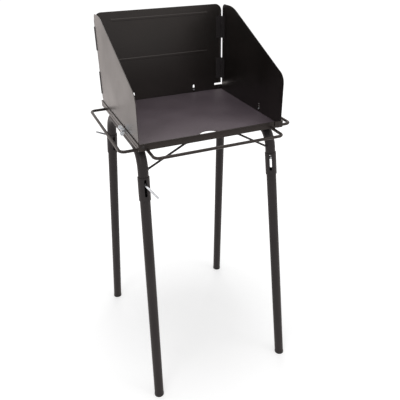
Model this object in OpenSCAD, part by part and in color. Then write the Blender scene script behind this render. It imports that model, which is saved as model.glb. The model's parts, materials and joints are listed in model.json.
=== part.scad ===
// Standing dutch oven cook table: a sheet-steel tray on splayed tube legs, with a folding
// windscreen on three sides, tool rails on three sides and lower legs that slide to level it.
// Millimetres, +Z up, +Y to the rear. The origin is on the floor under the middle of the tray.

/* [Tray] */
// Width across the outside of the side rails
tray_w = 405; // [365:1:445]
// Depth across the outside of the front and rear rails
tray_d = 390; // [350:1:430]
// Height of the rails' top edge above the floor
tray_top = 812; // [740:1:900]
// Height of the rails
rail_h = 18; // [17:0.5:24]
// Thickness of the rails' sheet
rail_t = 2; // [1.5:0.1:2.5]
// Width of the ledge that the plate rests on
rail_ledge = 22; // [20:0.5:28]
// Depth of the groove rolled along the outside of a side rail
groove_depth = 0.6; // [0.3:0.1:0.9]
// Height of that groove
groove_h = 2.4; // [1:0.1:4]
// Width of the ear that joins a side rail to the front and rear rails
ear_w = 24; // [18:1:30]
// Chamfer at the ear's lower inner corner
ear_chamfer = 6; // [2:0.5:8]
// Thickness of the cook plate
plate_t = 2.5; // [2:0.1:4]
// Radius of the finger notch in the front of the plate
notch_r = 30; // [24:1:36]
// Distance from the plate's front edge back to the notch's centre
notch_in = 18; // [8:0.5:22]

/* [Corner screws] */
// Distance from a side rail's outer face in to the screw
screw_in = 12; // [9:0.5:15]
// Height of the screw below the rails' top edge
screw_drop = 7.5; // [6:0.5:8.5]
// Radius of the shank
screw_r = 2; // [1.5:0.1:2.4]
// Radius of the domed head
screw_head_r = 4; // [3.2:0.1:4.5]
// Height of the domed head
screw_head_h = 2; // [1.5:0.1:3]
// Height of the nut on the inside
screw_nut_h = 2.4; // [1.6:0.1:2.4]
// Radius of that nut over its corners
screw_nut_r = 3.8; // [3:0.1:4]

/* [Windscreen] */
// Height of the back panel above the rails' top edge
screen_h = 252; // [220:1:300]
// Height of a side panel's front corner above the rails' top edge
screen_front_h = 118; // [90:1:140]
// Length of the level stretch at the rear of a side panel's top edge
screen_level = 71; // [60:1:90]
// Thickness of the panels
panel_t = 1.2; // [1:0.1:1.6]
// Corner radius of the back panel
back_corner_r = 22; // [10:1:35]
// Radius at the rear top corner of a side panel
side_rear_r = 15; // [8:1:25]
// Radius where a side panel's level edge turns into the slope
side_slope_r = 120; // [40:5:150]
// Radius at the front top corner of a side panel
side_front_r = 30; // [10:1:40]
// Width of the notch at the back panel's bottom corners
corner_notch_w = 24; // [23:1:36]
// Height of that notch above the rails' top edge
corner_notch_up = 7; // [4:0.5:15]
// Width of a stiffening bead across the back panel
bead_w = 7; // [4:0.5:10]
// Height of the bead
bead_h = 0.7; // [0.3:0.1:1]
// Length of the bead
bead_len = 300; // [200:5:330]
// Heights of the two beads above the rails' top edge
bead_up = [114, 228];

/* [Hinges] */
// Length of one hinge
hinge_len = 65; // [50:1:80]
// Heights of the lower end of the two hinges above the rails' top edge
hinge_up = [24, 151];
// Radius of a knuckle
knuckle_r = 2.8; // [2.4:0.1:3]
// Radius of the hinge pin
hinge_pin_r = 1.5; // [1:0.1:1.8]
// Thickness of a hinge leaf
leaf_t = 1.2; // [1:0.1:1.6]
// Width of a hinge leaf
leaf_w = 16; // [12:1:22]

/* [Wing screws] */
// Distance of the back wing screws from the middle
back_screw_x = 101; // [60:1:140]
// Distance of the side wing screws in front of the middle
side_screw_y = 68; // [30:1:120]
// Depth of the wing screws below the rails' top edge
wing_drop = 5; // [4.5:0.5:6.5]
// Radius of the shank
wing_r = 2.5; // [2.2:0.1:2.6]
// How far the shank's end stands inside the panel
wing_tip = 1.8; // [1:0.1:2]
// Radius of the hub
wing_hub_r = 5.5; // [4.5:0.1:6.5]
// Height of the hub
wing_hub_h = 9; // [7:0.5:12]
// Reach of a wing from the axis to its tip
wing_reach = 15; // [12:0.5:18]
// Radius of a wing's round end
wing_lobe_r = 5.5; // [4:0.1:6]
// Thickness of a wing
wing_t = 2.6; // [2:0.1:4]
// Width of the slots in the panels
panel_slot_w = 5.8; // [5.6:0.1:8]
// Height of those slots above the rails' top edge
panel_slot_up = 11; // [8:0.5:20]

/* [Leg frames] */
// Radius of the leg tube
tube_r = 14; // [12:0.5:15]
// Wall of the leg tube
tube_wall = 1.5; // [1:0.1:2.5]
// Radius of the tube's bend, to its centre line
bend_r = 60; // [45:1:75]
// Distance from the tray's front or rear face in to the lower end of the tube's bend
knee_in = 32; // [28:0.5:40]
// Distance from a side rail's outer face in to the frame's top tube
frame_in = 17.5; // [14:0.5:20]
// Sideways splay of the legs, in degrees
splay_side = 2.3; // [0:0.1:5]
// Front and rear splay of the legs, in degrees
splay_end = 7.2; // [0:0.1:10]
// Radius of the brace rods
brace_r = 2.75; // [2:0.25:4]
// Distance of a brace's ends below the tube's bend
brace_down = 5; // [0:0.5:10]
// Slope of a brace's ends, in degrees
brace_angle = 32; // [28:0.5:38]
// Bend radius of a brace, to its centre line
brace_bend_r = 20; // [8:1:40]

/* [Levelling legs] */
// Distance from the bend's end down to the collar
collar_drop = 17; // [10:0.5:25]
// Length of the collar
collar_len = 64; // [58:1:80]
// Wall of the collar
collar_wall = 1.6; // [1.2:0.1:2.5]
// Length of upper tube held in the collar
collar_grip = 12; // [8:0.5:13]
// Distance from the collar's top down to the levelling slot
slot_drop = 4; // [3:0.5:8]
// Length of the levelling slot
level_slot_len = 48; // [40:1:52]
// Width of the levelling slot
level_slot_w = 7; // [6.8:0.1:9]
// Distance from the lower leg's top end down to its clamp pin
pin_drop = 7; // [6:0.5:8]
// Radius of the clamp pin
pin_r = 3; // [2.5:0.1:3.2]
// Radius of the bend in the clamp pin, to its centre line
pin_bend_r = 7; // [5:0.5:9]
// Straight length of the pin's handle
handle_len = 36; // [25:1:38]
// How far the pin's stem stands out of the collar before its bend
stem_out = 10; // [8:1:14]
// Height of the clamp nut inside the lower leg
nut_h = 4; // [3:0.5:5]
// Radius of the clamp nut over its corners
nut_r = 5.2; // [4.8:0.1:6]
// Visible height of a foot cap
cap_h = 5; // [4:0.5:10]
// How far a foot cap stands out past the tube
cap_lip = 0.6; // [0:0.1:2]
// Length of the cap's plug inside the tube
cap_plug = 20; // [12:1:30]

/* [Tool rails] */
// Radius of the tool rails' rod
rod_r = 4; // [3:0.25:5]
// Distance of a side tool rail from the side rail's face to its centre line
side_out = 40; // [30:1:55]
// Distance of a side tool rail's ends from the front and rear of the tray
side_end_in = 25; // [24:1:40]
// Distance of the front tool rail from the front rail's face to its centre line
front_out = 47; // [30:1:55]
// Distance of the front tool rail's ends from the sides of the tray
front_end_in = 25.5; // [24:0.5:50]
// Bend radius of the tool rails, to their centre line
rod_bend_r = 14; // [8:1:20]
// How far the rod's ends reach in under the tray
rod_in = 12; // [8:0.5:16]

/* [Hidden] */
$fn = 48;

// Finishes
BLACK_COAT = [0.09, 0.09, 0.09];
PLATE_COAT = [0.24, 0.23, 0.25];
ZINC = [0.75, 0.75, 0.77];
CAP_BLACK = [0.04, 0.04, 0.04];

// Clearances
run_gap = 0.05;
seat_gap = 0.3;
plate_gap = 0.5;
panel_lift = 0.4;
edge_gap = 0.8;
fold_gap = 0.9;
knuckle_gap = 0.5;
slide_gap = 0.3;
thread_end = 0.6;
bend_swell = 0.02;
joint_lap = 0.5;
cut = 1;

// Tray: the side rails' ears lie outside the front and rear rails
rail_bottom = tray_top - rail_h;
plate_bottom = rail_bottom + rail_t;
plate_top = plate_bottom + plate_t;
cross_face = tray_d / 2 - rail_t;
cross_inner = cross_face - rail_t;
side_inner = tray_w / 2 - rail_t;
plate_half_w = side_inner - plate_gap;
plate_half_d = cross_inner - plate_gap;
groove_z = rail_bottom + rail_h * 0.4;
screw_x = tray_w / 2 - screw_in;
screw_z = tray_top - screw_drop;
wing_z = tray_top - wing_drop;

// Windscreen planes, measured to the middle of the sheet
side_x = side_inner - seat_gap - panel_t / 2;
back_y = cross_inner - seat_gap - panel_t / 2;
panel_bottom = plate_top + panel_lift;
screen_top = tray_top + screen_h;
side_front_y = -(cross_inner - edge_gap);
back_half = side_x - panel_t / 2 - seat_gap;
back_inner = back_y - panel_t / 2;
side_panel_inner = side_x - panel_t / 2;

// The right panel folds flat against the back panel and the left one folds over it
hinge_in_right = panel_t + 2 * leaf_t + fold_gap;
hinge_in_left = hinge_in_right + panel_t + leaf_t + fold_gap;
function hinge_y(sx) = back_y - (sx > 0 ? hinge_in_right : hinge_in_left);
knuckle_reach = knuckle_r + knuckle_gap;
knuckle_len = hinge_len / 3;
fixed_knuckle_len = knuckle_len - knuckle_gap;

// Leg frame: its top tube lies against the side rail's ledge
frame_x = tray_w / 2 - frame_in;
frame_z = rail_bottom - tube_r - bend_swell;
knee_y = tray_d / 2 - knee_in;
straight_half = knee_y - bend_r * cos(splay_end);
knee_z = -bend_r + bend_r * sin(splay_end);
knee_world_x = frame_x - knee_z * sin(splay_side);
knee_world_z = frame_z + knee_z * cos(splay_side);
leg_len = knee_world_z / (cos(splay_end) * cos(splay_side));
bore_r = tube_r - tube_wall;

// Brace: from leg to leg, leaning out so that its level top lies against the cross rail's ledge
brace_top_y = cross_face - rail_ledge / 2;
brace_top_z = rail_bottom - brace_r - bend_swell;
brace_foot_x = knee_world_x + brace_down * tan(splay_side);
brace_foot_y = knee_y + brace_down * tan(splay_end);
brace_foot_z = knee_world_z - brace_down;
brace_lean = atan2(brace_top_y - brace_foot_y, brace_top_z - brace_foot_z);
brace_rise = norm([brace_top_y - brace_foot_y, brace_top_z - brace_foot_z]);
brace_half = brace_foot_x - brace_rise / tan(brace_angle);
brace_cut_back = brace_bend_r * tan(brace_angle / 2);
brace_slope_len = brace_rise / sin(brace_angle) - brace_cut_back;

// Levelling legs, measured down the leg from the end of the tube's bend
upper_end = collar_drop + collar_grip;
lower_top = upper_end + seat_gap;
lower_end = leg_len - cap_h;
pin_at = lower_top + pin_drop;
slot_from = collar_drop + slot_drop;
slot_to = slot_from + level_slot_len;
collar_bore_r = tube_r + slide_gap;
collar_r = collar_bore_r + collar_wall;
stem_end = collar_r + stem_out;
nut_face = sqrt(pow(bore_r, 2) - pow(nut_r * cos(30), 2)) - run_gap;
stem_start = nut_face - nut_h - thread_end;
rod_z = rail_bottom - rod_r;
side_half = tray_d / 2 - side_end_in;
front_half = tray_w / 2 - front_end_in;

// For each leg: the way its clamp pin points and the turn of the handle about the pin
PIN_TURN = [["fl", -90, -52], ["fr", 58, 90], ["rl", 100, 25], ["rr", 80, -90]];
function leg_key(sx, sy) = str(sy < 0 ? "f" : "r", sx < 0 ? "l" : "r");
function pin_turn(sx, sy) = [for (row = PIN_TURN) if (row[0] == leg_key(sx, sy)) row][0];

// Corner points [x, y, radius] become a list of points with round corners
function unit(v) = v / norm(v);
function arc_corner(p, c, n, r, steps = 14) =
    let (
        u = unit(p - c),
        v = unit(n - c),
        half = acos(u * v) / 2,
        o = c + unit(u + v) * r / sin(half),
        s = c + u * r / tan(half) - o,
        e = c + v * r / tan(half) - o,
        a = atan2(s[1], s[0]),
        d = atan2(s[0] * e[1] - s[1] * e[0], s * e)
    )
    [for (i = [0:steps]) o + r * [cos(a + d * i / steps), sin(a + d * i / steps)]];
function xy(p) = [p[0], p[1]];
function rounded(pts) =
    let (count = len(pts))
    [for (i = [0:count - 1])
        each pts[i][2] == 0
            ? [xy(pts[i])]
            : arc_corner(xy(pts[(i + count - 1) % count]), xy(pts[i]), xy(pts[(i + 1) % count]),
                         pts[i][2])];

// Box from its lowest to its highest corner
module span(low, high) {
    translate(low) cube(high - low);
}

// Cylinders along X and Y, centred
module x_bar(r, h) {
    rotate([0, 90, 0]) cylinder(r = r, h = h, center = true);
}

module y_bar(r, h) {
    rotate([90, 0, 0]) cylinder(r = r, h = h, center = true);
}

// A piece drawn on the right is put on the left, and one drawn at the rear is put at the front
module side(sx) {
    if (sx < 0)
        mirror([1, 0, 0]) children();
    else
        children();
}

module end(sy) {
    if (sy < 0)
        mirror([0, 1, 0]) children();
    else
        children();
}

// Front and rear rails
module cross_rail(sy) {
    color(BLACK_COAT) difference() {
        end(sy) {
            span([-side_inner, cross_inner, rail_bottom], [side_inner, cross_face, tray_top]);
            span([-side_inner, cross_face - rail_ledge, rail_bottom],
                 [side_inner, cross_face, plate_bottom]);
        }
        for (sx = [-1, 1])
            translate([sx * screw_x, sy * cross_inner, screw_z]) y_bar(screw_r + run_gap, 4 * rail_t);
        if (sy > 0)
            for (sx = [-1, 1])
                translate([sx * back_screw_x, cross_inner, wing_z]) y_bar(wing_r + run_gap, 4 * rail_t);
    }
}

module front_rail() {
    cross_rail(-1);
}

module rear_rail() {
    cross_rail(1);
}

// Side rails with an ear bent round each end
module rail_ear() {
    outline = [
        [tray_w / 2, rail_bottom],
        [tray_w / 2, tray_top],
        [tray_w / 2 - ear_w, tray_top],
        [tray_w / 2 - ear_w, rail_bottom + ear_chamfer],
        [tray_w / 2 - ear_w + ear_chamfer, rail_bottom]
    ];
    translate([0, tray_d / 2, 0]) rotate([90, 0, 0]) linear_extrude(rail_t) polygon(outline);
}

module side_rail(sx) {
    ledge_y = cross_face - rail_ledge;
    color(BLACK_COAT) side(sx) difference() {
        union() {
            span([side_inner, -tray_d / 2, rail_bottom], [tray_w / 2, tray_d / 2, tray_top]);
            span([tray_w / 2 - rail_ledge, -ledge_y, rail_bottom], [tray_w / 2, ledge_y, plate_bottom]);
            rail_ear();
            mirror([0, 1, 0]) rail_ear();
        }
        span([tray_w / 2 - groove_depth, -tray_d / 2 - cut, groove_z],
             [tray_w / 2 + cut, tray_d / 2 + cut, groove_z + groove_h]);
        translate([side_inner, -side_screw_y, wing_z]) x_bar(wing_r + run_gap, 4 * rail_t);
        for (sy = [-1, 1])
            translate([screw_x, sy * cross_face, screw_z]) y_bar(screw_r + run_gap, 4 * rail_t);
    }
}

module left_rail() {
    side_rail(-1);
}

module right_rail() {
    side_rail(1);
}

module cook_plate() {
    color(PLATE_COAT) difference() {
        span([-plate_half_w, -plate_half_d, plate_bottom], [plate_half_w, plate_half_d, plate_top]);
        translate([0, -plate_half_d + notch_in, plate_bottom - cut])
            cylinder(r = notch_r, h = plate_t + 2 * cut);
    }
}

// Domed screws from outside and their nuts inside, drawn at the right rear
module corner_screw() {
    dome_r = (screw_head_r * screw_head_r + screw_head_h * screw_head_h) / (2 * screw_head_h);
    shank = 2 * rail_t + screw_nut_h + thread_end;
    translate([screw_x, tray_d / 2, screw_z]) rotate([-90, 0, 0]) {
        intersection() {
            cylinder(r = screw_head_r, h = screw_head_h);
            translate([0, 0, screw_head_h - dome_r]) sphere(r = dome_r);
        }
        translate([0, 0, -shank]) cylinder(r = screw_r, h = shank);
    }
}

module corner_screws() {
    color(BLACK_COAT)
        for (sx = [-1, 1])
            for (sy = [-1, 1])
                side(sx) end(sy) corner_screw();
}

module corner_nut() {
    translate([screw_x, cross_inner, screw_z]) rotate([90, 0, 0]) difference() {
        cylinder(r = screw_nut_r, h = screw_nut_h, $fn = 6);
        translate([0, 0, -cut]) cylinder(r = screw_r + run_gap, h = screw_nut_h + 2 * cut);
    }
}

module corner_nuts() {
    color(BLACK_COAT)
        for (sx = [-1, 1])
            for (sy = [-1, 1])
                side(sx) end(sy) corner_nut();
}

// Leg frames: one bent tube, drawn in its own sloping plane
module at_frame(sx) {
    translate([sx * frame_x, 0, frame_z]) rotate([0, -sx * splay_side, 0]) children();
}

module at_bend() {
    translate([0, straight_half, -bend_r]) rotate([90, 0, 90]) children();
}

module tube_section(swell) {
    difference() {
        circle(tube_r + swell);
        circle(bore_r - swell);
    }
}

module leg_frame(sx) {
    color(BLACK_COAT) difference() {
        at_frame(sx) {
            rotate([90, 0, 0]) linear_extrude(2 * (straight_half + joint_lap), center = true) tube_section(0);
            for (sy = [-1, 1]) {
                end(sy) at_bend() rotate([0, 0, splay_end]) {
                    rotate_extrude(angle = 90 - splay_end) translate([bend_r, 0]) tube_section(bend_swell);
                    translate([bend_r, joint_lap, 0]) rotate([90, 0, 0])
                        linear_extrude(upper_end + joint_lap) tube_section(0);
                }
            }
        }
        for (sy = [-1, 1])
            at_leg(sx, sy) level_slot(sx, sy);
    }
}

module left_leg_frame() {
    leg_frame(-1);
}

module right_leg_frame() {
    leg_frame(1);
}

// Braces: bent rods whose ends are cut to the legs
module brace_end() {
    translate([brace_half - brace_cut_back, 0, brace_rise - brace_bend_r])
        rotate([90, 0, 0]) rotate([0, 0, 90 - brace_angle]) {
            rotate_extrude(angle = brace_angle) translate([brace_bend_r, 0]) circle(brace_r + bend_swell);
            translate([brace_bend_r, joint_lap, 0]) rotate([90, 0, 0])
                cylinder(r = brace_r, h = brace_slope_len + joint_lap);
        }
}

module brace(sy) {
    color(BLACK_COAT) end(sy) difference() {
        translate([0, brace_foot_y, brace_foot_z]) rotate([-brace_lean, 0, 0]) {
            translate([0, 0, brace_rise]) x_bar(brace_r, 2 * (brace_half - brace_cut_back + joint_lap));
            for (sx = [-1, 1])
                side(sx) brace_end();
        }
        for (sx = [-1, 1])
            at_leg(sx, 1)
                translate([0, 0, -upper_end]) cylinder(r = tube_r + seat_gap, h = upper_end + bend_r / 2);
    }
}

module front_brace() {
    brace(-1);
}

module rear_brace() {
    brace(1);
}

// Tool rails: a rod loop that runs out from a tray face, drawn towards +Y
module rod_loop(half, out) {
    straight = out - rod_bend_r;
    for (sx = [-1, 1])
        side(sx) {
            translate([half, (straight - rod_in) / 2, 0]) y_bar(rod_r, straight + rod_in);
            translate([half - rod_bend_r, straight, 0])
                rotate_extrude(angle = 90) translate([rod_bend_r, 0]) circle(rod_r);
        }
    translate([0, out, 0]) x_bar(rod_r, 2 * (half - rod_bend_r));
}

module side_tool_rail(sx) {
    color(BLACK_COAT) translate([sx * tray_w / 2, 0, rod_z]) rotate([0, 0, -sx * 90])
        rod_loop(side_half, side_out);
}

module left_tool_rail() {
    side_tool_rail(-1);
}

module right_tool_rail() {
    side_tool_rail(1);
}

module front_tool_rail() {
    color(BLACK_COAT) translate([0, -tray_d / 2, rod_z]) rotate([0, 0, 180])
        rod_loop(front_half, front_out);
}

// Windscreen panels, each slotted from below for its wing screw
module back_panel() {
    notch_x = back_half - corner_notch_w;
    notch_z = tray_top + corner_notch_up;
    slot_top = tray_top + panel_slot_up - panel_slot_w / 2;
    outline = [
        [-notch_x, panel_bottom, 0],
        [notch_x, panel_bottom, 0],
        [notch_x, notch_z, 0],
        [back_half, notch_z, 0],
        [back_half, screen_top, back_corner_r],
        [-back_half, screen_top, back_corner_r],
        [-back_half, notch_z, 0],
        [-notch_x, notch_z, 0]
    ];
    color(BLACK_COAT) {
        difference() {
            translate([0, back_y + panel_t / 2, 0]) rotate([90, 0, 0])
                linear_extrude(panel_t) polygon(rounded(outline));
            for (sx = [-1, 1])
                translate([sx * back_screw_x, back_y, 0]) {
                    span([-panel_slot_w / 2, -panel_t, panel_bottom - cut],
                         [panel_slot_w / 2, panel_t, slot_top]);
                    translate([0, 0, slot_top]) y_bar(panel_slot_w / 2, 2 * panel_t);
                }
        }
        for (up = bead_up)
            translate([0, back_y, tray_top + up]) bead();
    }
}

module bead() {
    face = -panel_t / 2;
    section = [
        [0, -bead_w / 2],
        [0, bead_w / 2],
        [face, bead_w / 2],
        [face - bead_h, bead_w / 2 - bead_h],
        [face - bead_h, -bead_w / 2 + bead_h],
        [face, -bead_w / 2]
    ];
    rotate([90, 0, 90]) linear_extrude(bead_len, center = true) polygon(section);
}

module side_panel(sx) {
    rear_y = hinge_y(sx) - knuckle_reach;
    slot_top = tray_top + panel_slot_up - panel_slot_w / 2;
    outline = [
        [side_front_y, panel_bottom, 0],
        [rear_y, panel_bottom, 0],
        [rear_y, screen_top, side_rear_r],
        [rear_y - screen_level, screen_top, side_slope_r],
        [side_front_y, tray_top + screen_front_h, side_front_r]
    ];
    color(BLACK_COAT) side(sx) difference() {
        translate([side_panel_inner, 0, 0]) rotate([90, 0, 90])
            linear_extrude(panel_t) polygon(rounded(outline));
        translate([side_x, -side_screw_y, 0]) {
            span([-panel_t, -panel_slot_w / 2, panel_bottom - cut], [panel_t, panel_slot_w / 2, slot_top]);
            translate([0, 0, slot_top]) x_bar(panel_slot_w / 2, 2 * panel_t);
        }
    }
}

module left_side_panel() {
    side_panel(-1);
}

module right_side_panel() {
    side_panel(1);
}

// Hinges: two to a corner, with the middle knuckle on the side panel's leaf
module fixed_leaves(sx) {
    y = hinge_y(sx);
    color(BLACK_COAT) side(sx)
        for (up = hinge_up)
            translate([side_x, 0, tray_top + up]) difference() {
                union() {
                    span([-knuckle_reach - leaf_w, back_inner - leaf_t, 0],
                         [-knuckle_reach, back_inner, hinge_len]);
                    for (low = [0, hinge_len - fixed_knuckle_len])
                        translate([0, 0, low]) {
                            span([-knuckle_reach, back_inner - leaf_t, 0],
                                 [0, back_inner, fixed_knuckle_len]);
                            span([-knuckle_r, y, 0], [0, back_inner, fixed_knuckle_len]);
                            translate([0, y, 0]) cylinder(r = knuckle_r, h = fixed_knuckle_len);
                        }
                }
                translate([0, y, -cut]) cylinder(r = hinge_pin_r + run_gap, h = hinge_len + 2 * cut);
            }
}

module left_fixed_leaves() {
    fixed_leaves(-1);
}

module right_fixed_leaves() {
    fixed_leaves(1);
}

module moving_leaves(sx) {
    leaf_x = -panel_t / 2 - leaf_t;
    color(BLACK_COAT) side(sx)
        for (up = hinge_up)
            translate([side_x, hinge_y(sx), tray_top + up]) difference() {
                union() {
                    span([leaf_x, -knuckle_reach - leaf_w, 0], [-panel_t / 2, -knuckle_reach, hinge_len]);
                    translate([0, 0, knuckle_len]) {
                        span([leaf_x, -knuckle_reach, 0], [0, 0, knuckle_len]);
                        cylinder(r = knuckle_r, h = knuckle_len);
                    }
                }
                translate([0, 0, -cut]) cylinder(r = hinge_pin_r + run_gap, h = hinge_len + 2 * cut);
            }
}

module left_moving_leaves() {
    moving_leaves(-1);
}

module right_moving_leaves() {
    moving_leaves(1);
}

module hinge_pins(sx) {
    color(ZINC) side(sx)
        for (up = hinge_up)
            translate([side_x, hinge_y(sx), tray_top + up - thread_end])
                cylinder(r = hinge_pin_r, h = hinge_len + 2 * thread_end);
}

module left_hinge_pins() {
    hinge_pins(-1);
}

module right_hinge_pins() {
    hinge_pins(1);
}

// Wing screw: drawn along +Z, out of the rail's face
module wing_screw() {
    inside = rail_t + seat_gap + panel_t + wing_tip;
    hub_top = seat_gap + wing_hub_h;
    lobe_x = wing_reach - wing_lobe_r;
    color(ZINC) rotate([0, 0, 45]) {
        translate([0, 0, -inside]) cylinder(r = wing_r, h = inside + wing_hub_h / 2);
        translate([0, 0, seat_gap]) cylinder(r = wing_hub_r, h = wing_hub_h);
        for (turn = [0, 180])
            rotate([0, 0, turn]) {
                span([0, -wing_t / 2, hub_top - wing_hub_h * 0.7], [lobe_x, wing_t / 2, hub_top]);
                translate([lobe_x, 0, hub_top]) y_bar(wing_lobe_r, wing_t);
            }
    }
}

module left_wing_screw() {
    translate([-tray_w / 2, -side_screw_y, wing_z]) rotate([0, -90, 0]) wing_screw();
}

module right_wing_screw() {
    translate([tray_w / 2, -side_screw_y, wing_z]) rotate([0, 90, 0]) wing_screw();
}

module rear_left_wing_screw() {
    translate([-back_screw_x, cross_face, wing_z]) rotate([-90, 0, 0]) wing_screw();
}

module rear_right_wing_screw() {
    translate([back_screw_x, cross_face, wing_z]) rotate([-90, 0, 0]) wing_screw();
}

// Levelling legs: drawn down the Z axis from the end of the tube's bend
module at_leg(sx, sy) {
    at_frame(sx) translate([0, sy * straight_half, -bend_r]) rotate([sy * splay_end, 0, 0])
        translate([0, sy * bend_r, 0]) children();
}

module at_pin(sx, sy) {
    at_leg(sx, sy) translate([0, 0, -pin_at]) rotate([0, 0, pin_turn(sx, sy)[1]]) children();
}

module level_slot(sx, sy) {
    half = level_slot_w / 2;
    reach = collar_r + cut;
    rotate([0, 0, pin_turn(sx, sy)[1]]) {
        translate([0, 0, -slot_from - half]) x_bar(half, 2 * reach);
        translate([0, 0, -slot_to + half]) x_bar(half, 2 * reach);
        span([-reach, -half, -slot_to + half], [reach, half, -slot_from - half]);
    }
}

module collar(sx, sy) {
    bottom = collar_drop + collar_len;
    color(BLACK_COAT) at_leg(sx, sy) difference() {
        translate([0, 0, -bottom]) cylinder(r = collar_r, h = collar_len);
        translate([0, 0, -bottom - cut]) cylinder(r = collar_bore_r, h = bottom + cut - upper_end);
        translate([0, 0, -upper_end - cut]) cylinder(r = tube_r + run_gap, h = collar_grip + 2 * cut);
        level_slot(sx, sy);
    }
}

module lower_leg(sx, sy) {
    color(BLACK_COAT) at_leg(sx, sy) difference() {
        translate([0, 0, -lower_end]) cylinder(r = tube_r, h = lower_end - lower_top);
        translate([0, 0, -lower_end - cut]) cylinder(r = bore_r, h = lower_end - lower_top + 2 * cut);
        level_slot(sx, sy);
    }
}

module foot_cap(sx, sy) {
    floor_reach = tray_w + tray_d;
    color(CAP_BLACK) difference() {
        at_leg(sx, sy) {
            translate([0, 0, -leg_len - cap_h]) cylinder(r = tube_r + cap_lip, h = 2 * cap_h);
            translate([0, 0, -lower_end - cut]) cylinder(r = bore_r - run_gap, h = cap_plug + cut);
        }
        span([-floor_reach, -floor_reach, -2 * leg_len], [floor_reach, floor_reach, 0]);
    }
}

module clamp_nut(sx, sy) {
    color(BLACK_COAT) at_pin(sx, sy) translate([nut_face - nut_h, 0, 0]) rotate([0, 90, 0]) difference() {
        cylinder(r = nut_r, h = nut_h, $fn = 6);
        translate([0, 0, -cut]) cylinder(r = pin_r + run_gap, h = nut_h + 2 * cut);
    }
}

module clamp_pin(sx, sy) {
    color(ZINC) at_pin(sx, sy) rotate([pin_turn(sx, sy)[2], 0, 0]) {
        translate([stem_start, 0, 0]) rotate([0, 90, 0])
            cylinder(r = pin_r, h = stem_end - stem_start + joint_lap);
        translate([stem_end, pin_bend_r, 0]) {
            rotate([0, 0, -90]) rotate_extrude(angle = 90) translate([pin_bend_r, 0])
                circle(pin_r + bend_swell);
            translate([pin_bend_r, -joint_lap, 0]) rotate([-90, 0, 0])
                cylinder(r = pin_r, h = handle_len + joint_lap);
        }
    }
}

module front_left_collar() {
    collar(-1, -1);
}

module front_right_collar() {
    collar(1, -1);
}

module rear_left_collar() {
    collar(-1, 1);
}

module rear_right_collar() {
    collar(1, 1);
}

module front_left_leg() {
    lower_leg(-1, -1);
}

module front_right_leg() {
    lower_leg(1, -1);
}

module rear_left_leg() {
    lower_leg(-1, 1);
}

module rear_right_leg() {
    lower_leg(1, 1);
}

module front_left_foot_cap() {
    foot_cap(-1, -1);
}

module front_right_foot_cap() {
    foot_cap(1, -1);
}

module rear_left_foot_cap() {
    foot_cap(-1, 1);
}

module rear_right_foot_cap() {
    foot_cap(1, 1);
}

module front_left_clamp_nut() {
    clamp_nut(-1, -1);
}

module front_right_clamp_nut() {
    clamp_nut(1, -1);
}

module rear_left_clamp_nut() {
    clamp_nut(-1, 1);
}

module rear_right_clamp_nut() {
    clamp_nut(1, 1);
}

module front_left_clamp_pin() {
    clamp_pin(-1, -1);
}

module front_right_clamp_pin() {
    clamp_pin(1, -1);
}

module rear_left_clamp_pin() {
    clamp_pin(-1, 1);
}

module rear_right_clamp_pin() {
    clamp_pin(1, 1);
}

front_rail();
rear_rail();
left_rail();
right_rail();
cook_plate();
corner_screws();
corner_nuts();
left_leg_frame();
right_leg_frame();
front_brace();
rear_brace();
left_tool_rail();
right_tool_rail();
front_tool_rail();
back_panel();
left_fixed_leaves();
right_fixed_leaves();
left_hinge_pins();
right_hinge_pins();
left_side_panel();
left_moving_leaves();
right_side_panel();
right_moving_leaves();
left_wing_screw();
right_wing_screw();
rear_left_wing_screw();
rear_right_wing_screw();
front_left_collar();
front_right_collar();
rear_left_collar();
rear_right_collar();
front_left_leg();
front_right_leg();
rear_left_leg();
rear_right_leg();
front_left_foot_cap();
front_right_foot_cap();
rear_left_foot_cap();
rear_right_foot_cap();
front_left_clamp_nut();
front_right_clamp_nut();
rear_left_clamp_nut();
rear_right_clamp_nut();
front_left_clamp_pin();
front_right_clamp_pin();
rear_left_clamp_pin();
rear_right_clamp_pin();
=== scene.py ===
"""White studio view of a standing dutch oven cook table.

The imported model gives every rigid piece. This script gives each one its finish, adds welds,
the coat's swell along sheet edges and the sockets of screws, sets a white floor and soft light,
and puts the camera where the photograph was taken. Lengths are in metres.
"""
import json
import math

import bmesh
import bpy
from mathutils import Matrix, Vector


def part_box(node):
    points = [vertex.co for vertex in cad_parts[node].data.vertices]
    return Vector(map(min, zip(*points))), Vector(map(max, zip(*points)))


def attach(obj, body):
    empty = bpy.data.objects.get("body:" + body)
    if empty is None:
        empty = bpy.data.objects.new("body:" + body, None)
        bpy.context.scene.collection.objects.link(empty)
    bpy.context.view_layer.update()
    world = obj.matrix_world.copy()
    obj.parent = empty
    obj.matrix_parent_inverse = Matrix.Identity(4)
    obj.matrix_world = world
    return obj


# Camera, fitted to the photograph, with its angles in degrees
CAMERA_PLACE = (-0.48324, -1.25039, 1.26856)
CAMERA_AZIMUTH = 22.635
CAMERA_DOWN = 29.430
CAMERA_ROLL = -0.883
FOCAL_PIXELS = 483.24
IMAGE_PIXELS = 400
SENSOR_MM = 36.0

# Floor: its half width, its paint, and its glow from the table's middle outwards, dimmer near the
# middle as painted shade under the table
FLOOR_HALF = 40.0
FLOOR_ALBEDO = 0.62
PAINTED_SHADE_INNER = 0.15
PAINTED_SHADE_OUTER = 0.75
FLOOR_GLOW_PAINTED_SHADE = 0.425
FLOOR_GLOW_FAR = 0.72

# What reflections show: warm walls, and a warm floor that darkens from one Y to another in front
WHITE = (1.0, 1.0, 1.0, 1.0)
WARM_WALLS = (1.0, 0.94, 0.91, 1.0)
WARM_FLOOR = (1.0, 0.88, 0.83, 1.0)
FRONT_FLOOR = (0.10, 0.088, 0.083, 1.0)
FRONT_START = -1.6
FRONT_END = -2.6

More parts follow.
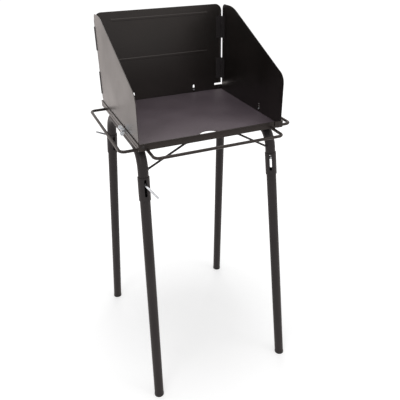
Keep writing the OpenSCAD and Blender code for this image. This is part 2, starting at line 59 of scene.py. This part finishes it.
# Light: the world's level on the object, and each softbox's name, place, side and watts
WORLD_FILL = 0.55
LIGHT_AIM = (0.0, 0.0, 0.8)
SOFTBOXES = (
    ("top_softbox", (-0.10, -0.35, 3.4), 2.0, 16.0),
    ("rear_softbox", (0.8, 2.0, 3.2), 1.6, 18.0),
    ("left_softbox", (-2.2, -2.0, 2.8), 1.4, 16.0),
    ("right_softbox", (2.2, -2.2, 2.8), 1.4, 12.0),
)

# Finishes: the dark and the light colour of their clouds
TUBE_BLACK = ((0.0315, 0.0284, 0.0292), (0.0412, 0.0372, 0.0383))
PLATE_BLACK = ((0.080, 0.063, 0.075), (0.106, 0.086, 0.100))
SHEET_BLACK = ((0.0050, 0.0038, 0.0035), (0.0085, 0.0065, 0.0060))
RAIL_BLACK = ((0.0105, 0.0080, 0.0072), (0.0155, 0.0118, 0.0107))
CAP_BLACK = ((0.008, 0.008, 0.008), (0.016, 0.016, 0.016))
ZINC_GREY = ((0.58, 0.62, 0.66), (0.75, 0.80, 0.84))
SPECK_MASK = ((0.0, 0.0, 0.0), (1.0, 1.0, 1.0))
WARM_SHEEN = (1.0, 0.93, 0.89, 1.0)

# Finishes: the noise values at which the colours stand, and the noise's usual range
COAT_STOPS = (0.35, 0.68)
SPECK_STOPS = (0.62, 0.74)
ZINC_STOPS = (0.32, 0.70)
CAP_STOPS = (0.35, 0.70)
NOISE_RANGE = (0.3, 0.7)

# Powder coat: a speck's paler colour, the roughness's range, and the smoother clear layer
SPECK_GAIN = 1.8
SPECK_LIFT = 0.004
ROUGH_BELOW = 0.05
ROUGH_ABOVE = 0.06
CLEAR_SMOOTHER = 0.8

# Sockets of a colour Mix node
MIX_FACTOR = 0
MIX_FIRST = 6
MIX_SECOND = 7
MIX_RESULT = 2

# Tray
RAIL_BOTTOM = 0.794
TRAY_TOP = 0.812
TRAY_HALF_W = 0.2025
TRAY_HALF_D = 0.195
RAIL_T = 0.002

# Right leg frame, its rear knee and the brace's end there; the other corners mirror them
TUBE_R = 0.014
FRAME_X = 0.185
KNEE = Vector((0.187106, 0.163, 0.727542))
LEG_DOWN = Vector((0.03981534, 0.12533323, -0.99131545))
BRACE_R = 0.00275
BRACE_FOOT = Vector((0.187307, 0.163632, 0.722542))
BRACE_TOP_Y = 0.182
BRACE_TOP_Z = 0.79123
BRACE_ANGLE = math.radians(32)

# Every bead: points round its section, the pitch and height of its ripples, and its tapered ends
BEAD_SIDES = 8
RIPPLE_PITCH = 0.0022
RIPPLE_HEIGHT = 0.14
TAPER_STEPS = 4
TAPER_TIP = 0.04

# Welds of the braces
BRACE_BEAD_R = 0.0011
BRACE_BEAD_STEPS = 40

# Welds of the tool rails: where the rods end, and each bead's place beside its rod
SIDE_ROD_Y = 0.170
FRONT_ROD_X = 0.177
ROD_BEAD_R = 0.0013
ROD_BEAD_STEPS = 24
ROD_BEAD_ASIDE = 0.0036
ROD_BEAD_DROP = 0.0011
ROD_BEAD_START = 0.0015
ROD_BEAD_END = 0.0115

# Welds of the leg frames: three stitches on the outer side of each top tube
STITCH_R = 0.0024
STITCH_STEPS = 56
STITCH_OUT = 0.0096
STITCH_DROP = 0.0014
STITCH_HALF = 0.014
STITCH_MIDDLES = (-0.08, 0.0, 0.08)

# Windscreen's outline, and the coat's swell along its edges
PANEL_T = 0.0012
SCREEN_LEVEL = 0.071
SCREEN_FRONT_TOP = 0.930
SIDE_FRONT_R = 0.030
SIDE_SLOPE_R = 0.120
SIDE_REAR_R = 0.015
BACK_CORNER_R = 0.022
BACK_EDGE_MORE = 0.002
PANEL_EDGE_R = 0.00085
PANEL_EDGE_LIFT = 0.001
CORNER_STEPS = 10

# The coat's swell along the tray's rails
RAIL_EDGE_R = 0.0011
RAIL_EDGE_SINK = 0.0004
RAIL_EDGE_SHORT = 0.004
RAIL_EDGE_STEPS = 8

# Corner screws, and the rings of a socket's rim, from outside in: radius, and height over the dome
SCREW_X = 0.1905
SCREW_Z = 0.8045
SCREW_DOME_R = 0.005
SCREW_HEAD_H = 0.002
SOCKET_SIDES = 6
SOCKET_TURN = 20
SOCKET_RINGS = ((0.00155, 0.00003), (0.00140, 0.00006), (0.00128, -0.00002), (0.0004, -0.00002))

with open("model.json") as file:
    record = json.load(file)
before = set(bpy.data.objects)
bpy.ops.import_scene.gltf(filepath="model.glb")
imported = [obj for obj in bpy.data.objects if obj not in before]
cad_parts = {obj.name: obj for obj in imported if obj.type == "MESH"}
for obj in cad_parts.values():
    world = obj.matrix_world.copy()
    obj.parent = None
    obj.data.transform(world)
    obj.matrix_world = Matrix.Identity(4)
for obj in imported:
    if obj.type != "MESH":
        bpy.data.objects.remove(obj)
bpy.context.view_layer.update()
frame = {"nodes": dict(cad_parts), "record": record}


# Nodes

def mix_colours(tree, factor, first, second):
    """Mixes two colours, each given as a value or as a socket."""
    node = tree.nodes.new("ShaderNodeMix")
    node.data_type = "RGBA"
    tree.links.new(factor, node.inputs[MIX_FACTOR])
    for colour, socket in ((first, MIX_FIRST), (second, MIX_SECOND)):
        if isinstance(colour, bpy.types.NodeSocket):
            tree.links.new(colour, node.inputs[socket])
        else:
            node.inputs[socket].default_value = colour
    return node.outputs[MIX_RESULT]


def map_range(tree, value, source, target):
    """Carries a value from the source range over to the target range, and stops at its ends."""
    node = tree.nodes.new("ShaderNodeMapRange")
    sockets = ("From Min", "From Max", "To Min", "To Max")
    for socket, end in zip(sockets, (*source, *target)):
        node.inputs[socket].default_value = end
    tree.links.new(value, node.inputs["Value"])
    return node.outputs["Result"]


def combine(tree, operation, first, second):
    """One Math node over two sockets."""
    node = tree.nodes.new("ShaderNodeMath")
    node.operation = operation
    tree.links.new(first, node.inputs[0])
    tree.links.new(second, node.inputs[1])
    return node.outputs["Value"]


# Materials

class Shader:
    """One node-based material: a Principled shader and the nodes that feed it."""

    def __init__(self, name):
        self.material = bpy.data.materials.new(name)
        self.material.use_nodes = True
        self.tree = self.material.node_tree
        self.principled = self.tree.nodes["Principled BSDF"]
        self.place = self.tree.nodes.new("ShaderNodeTexCoord").outputs["Object"]

    def set(self, socket, value):
        self.principled.inputs[socket].default_value = value

    def link(self, output, socket):
        self.tree.links.new(output, self.principled.inputs[socket])

    def noise(self, scale, detail, stretch=(1.0, 1.0, 1.0)):
        mapping = self.tree.nodes.new("ShaderNodeMapping")
        mapping.inputs["Scale"].default_value = stretch
        self.tree.links.new(self.place, mapping.inputs["Vector"])
        node = self.tree.nodes.new("ShaderNodeTexNoise")
        node.inputs["Scale"].default_value = scale
        node.inputs["Detail"].default_value = detail
        self.tree.links.new(mapping.outputs["Vector"], node.inputs["Vector"])
        return node.outputs["Fac"]

    def ramp(self, factor, stops, colours):
        """Two colours, with a blend between two stops of the factor."""
        node = self.tree.nodes.new("ShaderNodeValToRGB")
        for element, stop, colour in zip(node.color_ramp.elements, stops, colours):
            element.position = stop
            element.color = (*colour, 1.0)
        self.tree.links.new(factor, node.inputs["Fac"])
        return node.outputs["Color"]

    def spread(self, noise, low, high):
        """Carries a noise value over to the range low to high."""
        return map_range(self.tree, noise, NOISE_RANGE, (low, high))

    def bump(self, height, strength, distance):
        node = self.tree.nodes.new("ShaderNodeBump")
        node.inputs["Strength"].default_value = strength
        node.inputs["Distance"].default_value = distance
        self.tree.links.new(height, node.inputs["Height"])
        self.link(node.outputs["Normal"], "Normal")


def powder_coat(name, clouds, rough, gloss, clear=0.0):
    """Baked powder coat: fine orange peel, slight cloudiness and a few paler specks."""
    shader = Shader(name)
    cloud = shader.noise(scale=9.0, detail=4.0)
    peel = shader.noise(scale=620.0, detail=1.0)
    grain = shader.noise(scale=1500.0, detail=2.0)
    colour = shader.ramp(cloud, COAT_STOPS, clouds)
    speck = shader.ramp(grain, SPECK_STOPS, SPECK_MASK)
    light = clouds[1]
    pale = (*(channel * SPECK_GAIN + SPECK_LIFT for channel in light), 1.0)
    shader.link(mix_colours(shader.tree, speck, colour, pale), "Base Color")
    shader.link(shader.spread(cloud, rough - ROUGH_BELOW, rough + ROUGH_ABOVE), "Roughness")
    shader.set("Specular IOR Level", gloss)
    shader.set("Specular Tint", WARM_SHEEN)
    shader.set("Coat Weight", clear)
    shader.set("Coat Roughness", rough * CLEAR_SMOOTHER)
    shader.bump(peel, strength=0.10, distance=0.0004)
    return shader.material


def plated_steel(name):
    """Bright zinc plate with fine drawn lines and cloudy passivation."""
    shader = Shader(name)
    cloud = shader.noise(scale=140.0, detail=3.0)
    lines = shader.noise(scale=900.0, detail=2.0, stretch=(1.0, 1.0, 0.12))
    shader.link(shader.ramp(cloud, ZINC_STOPS, ZINC_GREY), "Base Color")
    shader.link(shader.spread(lines, low=0.22, high=0.38), "Roughness")
    shader.set("Metallic", 1.0)
    shader.bump(lines, strength=0.06, distance=0.0002)
    return shader.material


def moulded_plastic(name):
    """Black moulded plastic with a fine spark-eroded grain."""
    shader = Shader(name)
    cloud = shader.noise(scale=60.0, detail=3.0)
    grain = shader.noise(scale=2200.0, detail=1.0)
    shader.link(shader.ramp(cloud, CAP_STOPS, CAP_BLACK), "Base Color")
    shader.link(shader.spread(cloud, low=0.50, high=0.62), "Roughness")
    shader.bump(grain, strength=0.20, distance=0.0003)
    return shader.material


# Finish of each slot, and the pieces in the black slot that have a coat of their own
FINISHES = {
    "black_coat": powder_coat("black_coat", TUBE_BLACK, rough=0.42, gloss=0.18),
    "plate_coat": powder_coat("plate_coat", PLATE_BLACK, rough=0.46, gloss=0.52),
    "zinc": plated_steel("zinc"),
    "cap": moulded_plastic("cap"),
}
SHEET_COAT = powder_coat("sheet_coat", SHEET_BLACK, rough=0.37, gloss=0.46, clear=0.39)
BACK_COAT = powder_coat("back_coat", SHEET_BLACK, rough=0.36, gloss=0.52, clear=0.46)
RAIL_COAT = powder_coat("rail_coat", RAIL_BLACK, rough=0.34, gloss=0.42)
OWN_COATS = {
    "back_panel": BACK_COAT,
    "left_side_panel": SHEET_COAT,
    "right_side_panel": SHEET_COAT,
    "front_rail": RAIL_COAT,
    "rear_rail": RAIL_COAT,
    "left_rail": RAIL_COAT,
    "right_rail": RAIL_COAT,
    "front_tool_rail": RAIL_COAT,
    "left_tool_rail": RAIL_COAT,
    "right_tool_rail": RAIL_COAT,
}


def dress_nodes():
    """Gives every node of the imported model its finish."""
    for subpart in frame["record"]["subparts"]:
        name = subpart["node"]
        materials = frame["nodes"][name].data.materials
        materials.clear()
        materials.append(OWN_COATS.get(name, FINISHES[subpart["material_slot"]]))


# Fine pieces

def put_piece(name, mesh, body, slot, finish=None, smooth=False):
    """Makes a piece of a bmesh, with its faces turned outwards, and lets it ride on a body."""
    bmesh.ops.recalc_face_normals(mesh, faces=mesh.faces)
    data = bpy.data.meshes.new(name)
    mesh.to_mesh(data)
    mesh.free()
    if smooth:
        data.shade_smooth()
    piece = bpy.data.objects.new(name, data)
    bpy.context.collection.objects.link(piece)
    data.materials.append(finish or FINISHES[slot])
    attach(piece, body)


class Sweep:
    """Collects beads, each a round section swept along a path, into one mesh."""

    def __init__(self):
        self.mesh = bmesh.new()

    def bead(self, path, size, closed=False, ripple=RIPPLE_HEIGHT):
        """Adds one bead: rippled as a weld is, or even where the ripple is 0."""
        count = len(path)
        rings = []
        along = 0.0
        for i, point in enumerate(path):
            ahead = path[(i + 1) % count] if closed or i < count - 1 else point
            behind = path[i - 1] if closed or i > 0 else point
            tangent = (ahead - behind).normalized()
            if i == 0:
                first = tangent.orthogonal().normalized()
            else:
                first = (first - tangent * first.dot(tangent)).normalized()
                along += (point - behind).length
            second = tangent.cross(first)
            swell = 1.0 + ripple * math.sin(2 * math.pi * along / RIPPLE_PITCH)
            if not closed:
                from_end = min(i, count - 1 - i) / TAPER_STEPS
                swell *= math.sqrt(min(1.0, TAPER_TIP + from_end))
            ring = []
            for k in range(BEAD_SIDES):
                turn = 2 * math.pi * k / BEAD_SIDES
                outward = first * math.cos(turn) + second * math.sin(turn)
                ring.append(self.mesh.verts.new(point + outward * size * swell))
            rings.append(ring)
        self.skin(rings, closed)

    def skin(self, rings, closed):
        """Faces between the rings, and caps where the bead is open."""
        following = rings[1:] + rings[:1] if closed else rings[1:]
        for low, high in zip(rings, following):
            for k in range(BEAD_SIDES):
                j = (k + 1) % BEAD_SIDES
                self.mesh.faces.new((low[k], low[j], high[j], high[k]))
        if not closed:
            self.mesh.faces.new(reversed(rings[0]))
            self.mesh.faces.new(rings[-1])

    def done(self, name, body, slot, finish=None):
        put_piece(name, self.mesh, body, slot, finish, smooth=True)


def line(start, end, steps):
    """Points of a straight line."""
    start, end = Vector(start), Vector(end)
    return [start.lerp(end, i / steps) for i in range(steps + 1)]


def rounded_line(corners):
    """Points along an open line of (u, v, radius) corners, each turned on its radius."""
    path = [Vector(corners[0][:2])]
    for before, here, after in zip(corners, corners[1:], corners[2:]):
        corner, radius = Vector(here[:2]), here[2]
        back = (Vector(before[:2]) - corner).normalized()
        ahead = (Vector(after[:2]) - corner).normalized()
        half = back.angle(ahead) / 2
        centre = corner + (back + ahead).normalized() * radius / math.sin(half)
        first = corner + back * radius / math.tan(half) - centre
        last = corner + ahead * radius / math.tan(half) - centre
        for i in range(CORNER_STEPS + 1):
            path.append(centre + first.lerp(last, i / CORNER_STEPS).normalized() * radius)
    path.append(Vector(corners[-1][:2]))
    return path


def brace_joint():
    """Points round the right rear joint, where the brace's rod runs out of the leg tube."""
    lean = Vector((0.0, BRACE_TOP_Y - BRACE_FOOT.y, BRACE_TOP_Z - BRACE_FOOT.z)).normalized()
    along = Vector((-math.cos(BRACE_ANGLE), 0.0, 0.0)) + lean * math.sin(BRACE_ANGLE)
    first = along.orthogonal().normalized()
    second = along.cross(first)
    side = along - LEG_DOWN * along.dot(LEG_DOWN)
    path = []
    for k in range(BRACE_BEAD_STEPS):
        turn = 2 * math.pi * k / BRACE_BEAD_STEPS
        rim = BRACE_FOOT + (first * math.cos(turn) + second * math.sin(turn)) * BRACE_R
        start = rim - KNEE
        start -= LEG_DOWN * start.dot(LEG_DOWN)
        # How far along the rod this point meets the tube, as the larger root of a quadratic
        a = side.dot(side)
        b = 2 * start.dot(side)
        c = start.dot(start) - TUBE_R ** 2
        reach = (-b + math.sqrt(b * b - 4 * a * c)) / (2 * a)
        path.append(rim + along * reach)
    return path


def weld_braces():
    """Fillet round each brace end, where the rod meets the leg tube."""
    joint = brace_joint()
    sweep = Sweep()
    for sx in (-1, 1):
        for sy in (-1, 1):
            path = [Vector((sx * point.x, sy * point.y, point.z)) for point in joint]
            sweep.bead(path, BRACE_BEAD_R, closed=True)
    sweep.done("brace_welds", "stand", "black_coat")


def weld_tool_rails():
    """Two short fillets at each rod end, between the rod and the underside of the tray."""
    sweep = Sweep()
    z = RAIL_BOTTOM - ROD_BEAD_DROP
    side_out, side_in = TRAY_HALF_W - ROD_BEAD_START, TRAY_HALF_W - ROD_BEAD_END
    front_out, front_in = ROD_BEAD_START - TRAY_HALF_D, ROD_BEAD_END - TRAY_HALF_D
    asides = (-ROD_BEAD_ASIDE, ROD_BEAD_ASIDE)
    for sx in (-1, 1):
        for sy in (-1, 1):
            for aside in asides:
                y = sy * SIDE_ROD_Y + aside
                path = line((sx * side_out, y, z), (sx * side_in, y, z), ROD_BEAD_STEPS)
                sweep.bead(path, ROD_BEAD_R)
        for aside in asides:
            x = sx * FRONT_ROD_X + aside
            sweep.bead(line((x, front_out, z), (x, front_in, z), ROD_BEAD_STEPS), ROD_BEAD_R)
    sweep.done("tool_rail_welds", "stand", "black_coat")


def weld_leg_frames():
    """Stitches along the outer side of each top tube, under the side rail's ledge."""
    sweep = Sweep()
    z = RAIL_BOTTOM - STITCH_DROP
    for sx in (-1, 1):
        x = sx * (FRAME_X + STITCH_OUT)
        for middle in STITCH_MIDDLES:
            front, rear = middle - STITCH_HALF, middle + STITCH_HALF
            sweep.bead(line((x, front, z), (x, rear, z), STITCH_STEPS), STITCH_R)
    sweep.done("frame_welds", "stand", "black_coat")


def side_panel_edge(side):
    """Coat built up round the front, sloping and top edges of a side panel."""
    low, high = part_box(side + "_side_panel")
    middle = (low[0] + high[0]) / 2
    front = low[1] + PANEL_EDGE_R
    rear = high[1] - SIDE_REAR_R
    top = high[2] - PANEL_EDGE_R
    outline = rounded_line((
        (front, TRAY_TOP + PANEL_EDGE_LIFT, 0.0),
        (front, SCREEN_FRONT_TOP - PANEL_EDGE_R, SIDE_FRONT_R),
        (high[1] - SCREEN_LEVEL, top, SIDE_SLOPE_R),
        (rear, top, 0.0),
    ))
    sweep = Sweep()
    sweep.bead([Vector((middle, y, z)) for y, z in outline], PANEL_EDGE_R, ripple=0.0)
    sweep.done(side + "_panel_edge", side + "_screen", "black_coat", SHEET_COAT)


def back_panel_edge():
    """Coat built up along the back panel's top edge and round its two corners."""
    low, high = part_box("back_panel")
    middle = high[1] - PANEL_T / 2
    top = high[2] - PANEL_EDGE_R
    bottom = top - (BACK_CORNER_R + BACK_EDGE_MORE)
    left = low[0] + PANEL_EDGE_R
    right = high[0] - PANEL_EDGE_R
    outline = rounded_line((
        (left, bottom, 0.0),
        (left, top, BACK_CORNER_R),
        (right, top, BACK_CORNER_R),
        (right, bottom, 0.0),
    ))
    sweep = Sweep()
    sweep.bead([Vector((x, middle, z)) for x, z in outline], PANEL_EDGE_R, ripple=0.0)
    sweep.done("back_panel_edge", "stand", "black_coat", BACK_COAT)


def rail_edges():
    """Coat built up along the top edges of the tray's rails."""
    sweep = Sweep()
    x, y = TRAY_HALF_W - RAIL_T / 2, TRAY_HALF_D - RAIL_T / 2
    z = TRAY_TOP - RAIL_EDGE_SINK
    x_end, y_end = x - RAIL_EDGE_SHORT, y - RAIL_EDGE_SHORT
    for sign in (-1, 1):
        across = line((-x_end, sign * y, z), (x_end, sign * y, z), RAIL_EDGE_STEPS)
        sweep.bead(across, RAIL_EDGE_R, ripple=0.0)
        deep = line((sign * x, -y_end, z), (sign * x, y_end, z), RAIL_EDGE_STEPS)
        sweep.bead(deep, RAIL_EDGE_R, ripple=0.0)
    sweep.done("rail_edges", "stand", "black_coat", RAIL_COAT)


def socket_ring(mesh, sx, sy, radius, lift):
    """One six-sided ring of a screw's socket, a little over or under the head's dome."""
    fall = SCREW_DOME_R - math.sqrt(SCREW_DOME_R ** 2 - radius ** 2)
    y = TRAY_HALF_D + SCREW_HEAD_H - fall + lift
    ring = []
    for k in range(SOCKET_SIDES):
        turn = math.radians(360 / SOCKET_SIDES * k + SOCKET_TURN)
        x = SCREW_X + radius * math.cos(turn)
        z = SCREW_Z + radius * math.sin(turn)
        ring.append(mesh.verts.new((sx * x, sy * y, z)))
    return ring


def screw_sockets():
    """The raised rim of a hexagon socket on the head of each corner screw."""
    mesh = bmesh.new()
    for sx in (-1, 1):
        for sy in (-1, 1):
            rings = [socket_ring(mesh, sx, sy, radius, lift) for radius, lift in SOCKET_RINGS]
            for outer, inner in zip(rings, rings[1:]):
                for k in range(SOCKET_SIDES):
                    j = (k + 1) % SOCKET_SIDES
                    mesh.faces.new((outer[k], outer[j], inner[j], inner[k]))
            mesh.faces.new(rings[-1])
    put_piece("screw_sockets", mesh, "stand", "black_coat")


# Studio

def seen_ray(tree):
    """1 for camera, glossy and transmission rays, so that metal shows the white studio too."""
    path = tree.nodes.new("ShaderNodeLightPath")
    seen = path.outputs["Is Camera Ray"]
    for name in ("Is Glossy Ray", "Is Transmission Ray"):
        seen = combine(tree, "MAXIMUM", seen, path.outputs[name])
    return seen


def reflected_tint(tree, tint):
    """White to the camera and tinted in reflections, as the photograph's black coat suggests."""
    path = tree.nodes.new("ShaderNodeLightPath")
    return mix_colours(tree, path.outputs["Is Glossy Ray"], WHITE, tint)


def floor_tint(tree, place):
    """Warm floor, darker further in front of the table."""
    split = tree.nodes.new("ShaderNodeSeparateXYZ")
    tree.links.new(place, split.inputs["Vector"])
    near = map_range(tree, split.outputs["Y"], (FRONT_END, FRONT_START), (0.0, 1.0))
    return mix_colours(tree, near, FRONT_FLOOR, WARM_FLOOR)


def floor_material():
    """Pale paint that takes the real shadow, and a glow that whitens it where it is seen, dimmed
    round the table's middle as painted shade.
    """
    material = bpy.data.materials.new("white_floor")
    material.use_nodes = True
    tree = material.node_tree
    tree.nodes.clear()
    paint = tree.nodes.new("ShaderNodeBsdfDiffuse")
    paint.inputs["Color"].default_value = (FLOOR_ALBEDO, FLOOR_ALBEDO, FLOOR_ALBEDO, 1.0)
    place = tree.nodes.new("ShaderNodeTexCoord").outputs["Object"]
    distance = tree.nodes.new("ShaderNodeVectorMath")
    distance.operation = "LENGTH"
    tree.links.new(place, distance.inputs[0])
    # Painted shade: the glow is weaker near the table's middle, so the floor under and round the
    # table reads darker than its lighting makes it
    level = map_range(tree, distance.outputs["Value"],
                      (PAINTED_SHADE_INNER, PAINTED_SHADE_OUTER), (FLOOR_GLOW_PAINTED_SHADE, FLOOR_GLOW_FAR))
    glow = tree.nodes.new("ShaderNodeEmission")
    strength = combine(tree, "MULTIPLY", seen_ray(tree), level)
    tree.links.new(strength, glow.inputs["Strength"])
    tree.links.new(reflected_tint(tree, floor_tint(tree, place)), glow.inputs["Color"])
    both = tree.nodes.new("ShaderNodeAddShader")
    tree.links.new(paint.outputs["BSDF"], both.inputs[0])
    tree.links.new(glow.outputs["Emission"], both.inputs[1])
    output = tree.nodes.new("ShaderNodeOutputMaterial")
    tree.links.new(both.outputs["Shader"], output.inputs["Surface"])
    return material


def make_floor():
    """A wide flat floor under the table's feet, as part of the stage."""
    mesh = bpy.data.meshes.new("floor")
    h = FLOOR_HALF
    mesh.from_pydata([(-h, -h, 0), (h, -h, 0), (h, h, 0), (-h, h, 0)], [], [(0, 1, 2, 3)])
    mesh.materials.append(floor_material())
    floor = bpy.data.objects.new("floor", mesh)
    bpy.context.collection.objects.link(floor)


def make_world():
    """White where it is seen, and a lower level as light on the object."""
    world = bpy.data.worlds.new("studio")
    bpy.context.scene.world = world
    world.use_nodes = True
    tree = world.node_tree
    background = tree.nodes["Background"]
    tree.links.new(reflected_tint(tree, WARM_WALLS), background.inputs["Color"])
    strength = map_range(tree, seen_ray(tree), (0.0, 1.0), (WORLD_FILL, 1.0))
    tree.links.new(strength, background.inputs["Strength"])


def make_lights():
    """Soft square lamps that all aim at the tray."""
    for name, place, side, power in SOFTBOXES:
        data = bpy.data.lights.new(name, "AREA")
        data.energy = power
        data.size = side
        light = bpy.data.objects.new(name, data)
        light.location = place
        aim = Vector(LIGHT_AIM) - Vector(place)
        light.rotation_euler = aim.to_track_quat("-Z", "Y").to_euler()
        bpy.context.collection.objects.link(light)


def make_camera():
    """Camera at the photograph's place, turned by its azimuth, its tilt down and its roll."""
    azimuth = math.radians(CAMERA_AZIMUTH)
    down = math.radians(CAMERA_DOWN)
    roll = math.radians(CAMERA_ROLL)
    forward = Vector((
        math.sin(azimuth) * math.cos(down),
        math.cos(azimuth) * math.cos(down),
        -math.sin(down),
    ))
    level = Vector((math.cos(azimuth), -math.sin(azimuth), 0.0))
    upright = level.cross(forward)
    right = level * math.cos(roll) + upright * math.sin(roll)
    up = upright * math.cos(roll) - level * math.sin(roll)
    data = bpy.data.cameras.new("camera")
    data.sensor_width = SENSOR_MM
    data.lens = SENSOR_MM * FOCAL_PIXELS / IMAGE_PIXELS
    camera = bpy.data.objects.new("camera", data)
    turn = Matrix((right, up, -forward)).transposed().to_4x4()
    camera.matrix_world = Matrix.Translation(CAMERA_PLACE) @ turn
    bpy.context.collection.objects.link(camera)
    bpy.context.scene.camera = camera


dress_nodes()
weld_braces()
weld_tool_rails()
weld_leg_frames()
side_panel_edge("left")
side_panel_edge("right")
back_panel_edge()
rail_edges()
screw_sockets()
make_floor()
make_world()
make_lights()
make_camera()
bpy.context.scene.view_settings.view_transform = "Standard"
